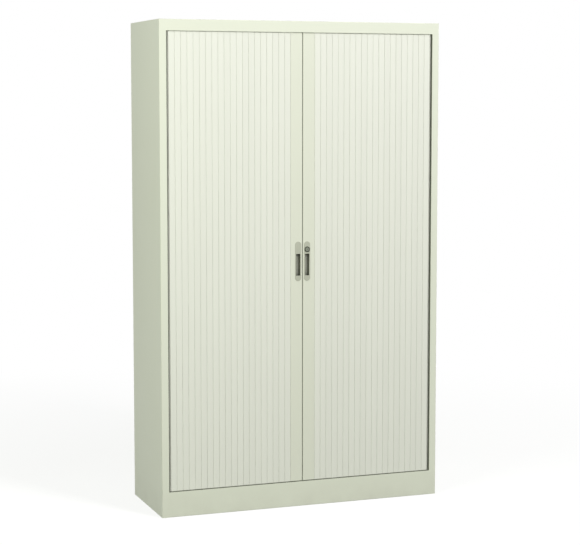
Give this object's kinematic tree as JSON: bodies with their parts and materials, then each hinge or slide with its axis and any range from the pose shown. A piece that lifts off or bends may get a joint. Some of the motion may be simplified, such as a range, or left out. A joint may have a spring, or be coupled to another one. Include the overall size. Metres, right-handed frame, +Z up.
{
  "type": "roll front tool cabinet",
  "caption": "Tall steel cupboard with two side-opening roll fronts of upright slats, finger-cup handles, a hook lock, adjustable shelves and levelling feet.",
  "frame": {"origin": "centre of the cupboard's footprint, on the floor", "axes": "+Z up; the doors face -Y; +X is the right-hand side for someone who faces the doors"},
  "size_m": [1.2, 0.43, 1.98],
  "materials": {
    "carcass_paint": "satin powder coat, pale goose grey",
    "curtain_plastic": "extruded, satin, a shade lighter than the carcass",
    "track_plastic": "extruded, smooth, mid grey",
    "shoe_nylon": "moulded nylon",
    "plate_plastic": "fine grain, warm grey",
    "lock_metal": "dark plated, satin",
    "zinc_steel": "bright zinc plated"
  },
  "bodies": {
    "cabinet": {"access_caps": "track_plastic", "back_panel": "carcass_paint", "back_rivets": "zinc_steel", "base_pan": "carcass_paint", "bottom_rail": "carcass_paint", "floor_tray": "carcass_paint", "foot_brackets": "zinc_steel", "foot_nuts": "zinc_steel", "inner_back": "carcass_paint", "liner_left": "carcass_paint", "liner_right": "carcass_paint", "shelf_1": "carcass_paint", "shelf_2": "carcass_paint", "shelf_3": "carcass_paint", "shelf_4": "carcass_paint", "shelf_clips": "zinc_steel", "side_panel_left": "carcass_paint", "side_panel_right": "carcass_paint", "top_pan": "carcass_paint", "top_panel": "carcass_paint", "track_bottom_left": "track_plastic", "track_bottom_right": "track_plastic", "track_stops": "track_plastic", "track_top_left": "track_plastic", "track_top_right": "track_plastic"},
    "left_door": {"lead_left": "carcass_paint", "plate_left": "plate_plastic", "slats_left": "curtain_plastic", "shoes_left": "shoe_nylon", "striker": "zinc_steel"},
    "right_door": {"lead_right": "carcass_paint", "plate_right": "plate_plastic", "slats_right": "curtain_plastic", "shoes_right": "shoe_nylon", "lock_body": "lock_metal", "lock_nut": "zinc_steel"},
    "lock": {"lock_plug": "lock_metal", "lock_hook": "zinc_steel", "hook_screw": "zinc_steel"},
    "foot_front_left": {"foot_front_left": "zinc_steel"},
    "foot_front_right": {"foot_front_right": "zinc_steel"},
    "foot_rear_left": {"foot_rear_left": "zinc_steel"},
    "foot_rear_right": {"foot_rear_right": "zinc_steel"}
  },
  "joints": [
    {"name": "left_slide", "type": "slide", "parent": "cabinet", "child": "left_door", "axis": [-1, 0, 0], "range_m": [0, 0.51], "deforming": ["slats_left"]},
    {"name": "right_slide", "type": "slide", "parent": "cabinet", "child": "right_door", "axis": [1, 0, 0], "range_m": [0, 0.51], "deforming": ["slats_right"]},
    {"name": "lock_turn", "type": "hinge", "parent": "right_door", "child": "lock", "pos_m": [0.0195, -0.2, 1.06], "axis": [0, 1, 0], "range_deg": [0, 90]},
    {"name": "front_left_foot_screw", "type": "slide", "parent": "cabinet", "child": "foot_front_left", "axis": [0, 0, -1], "range_m": [0, 0.015]},
    {"name": "front_right_foot_screw", "type": "slide", "parent": "cabinet", "child": "foot_front_right", "axis": [0, 0, -1], "range_m": [0, 0.015]},
    {"name": "rear_left_foot_screw", "type": "slide", "parent": "cabinet", "child": "foot_rear_left", "axis": [0, 0, -1], "range_m": [0, 0.015]},
    {"name": "rear_right_foot_screw", "type": "slide", "parent": "cabinet", "child": "foot_rear_right", "axis": [0, 0, -1], "range_m": [0, 0.015]}
  ]
}
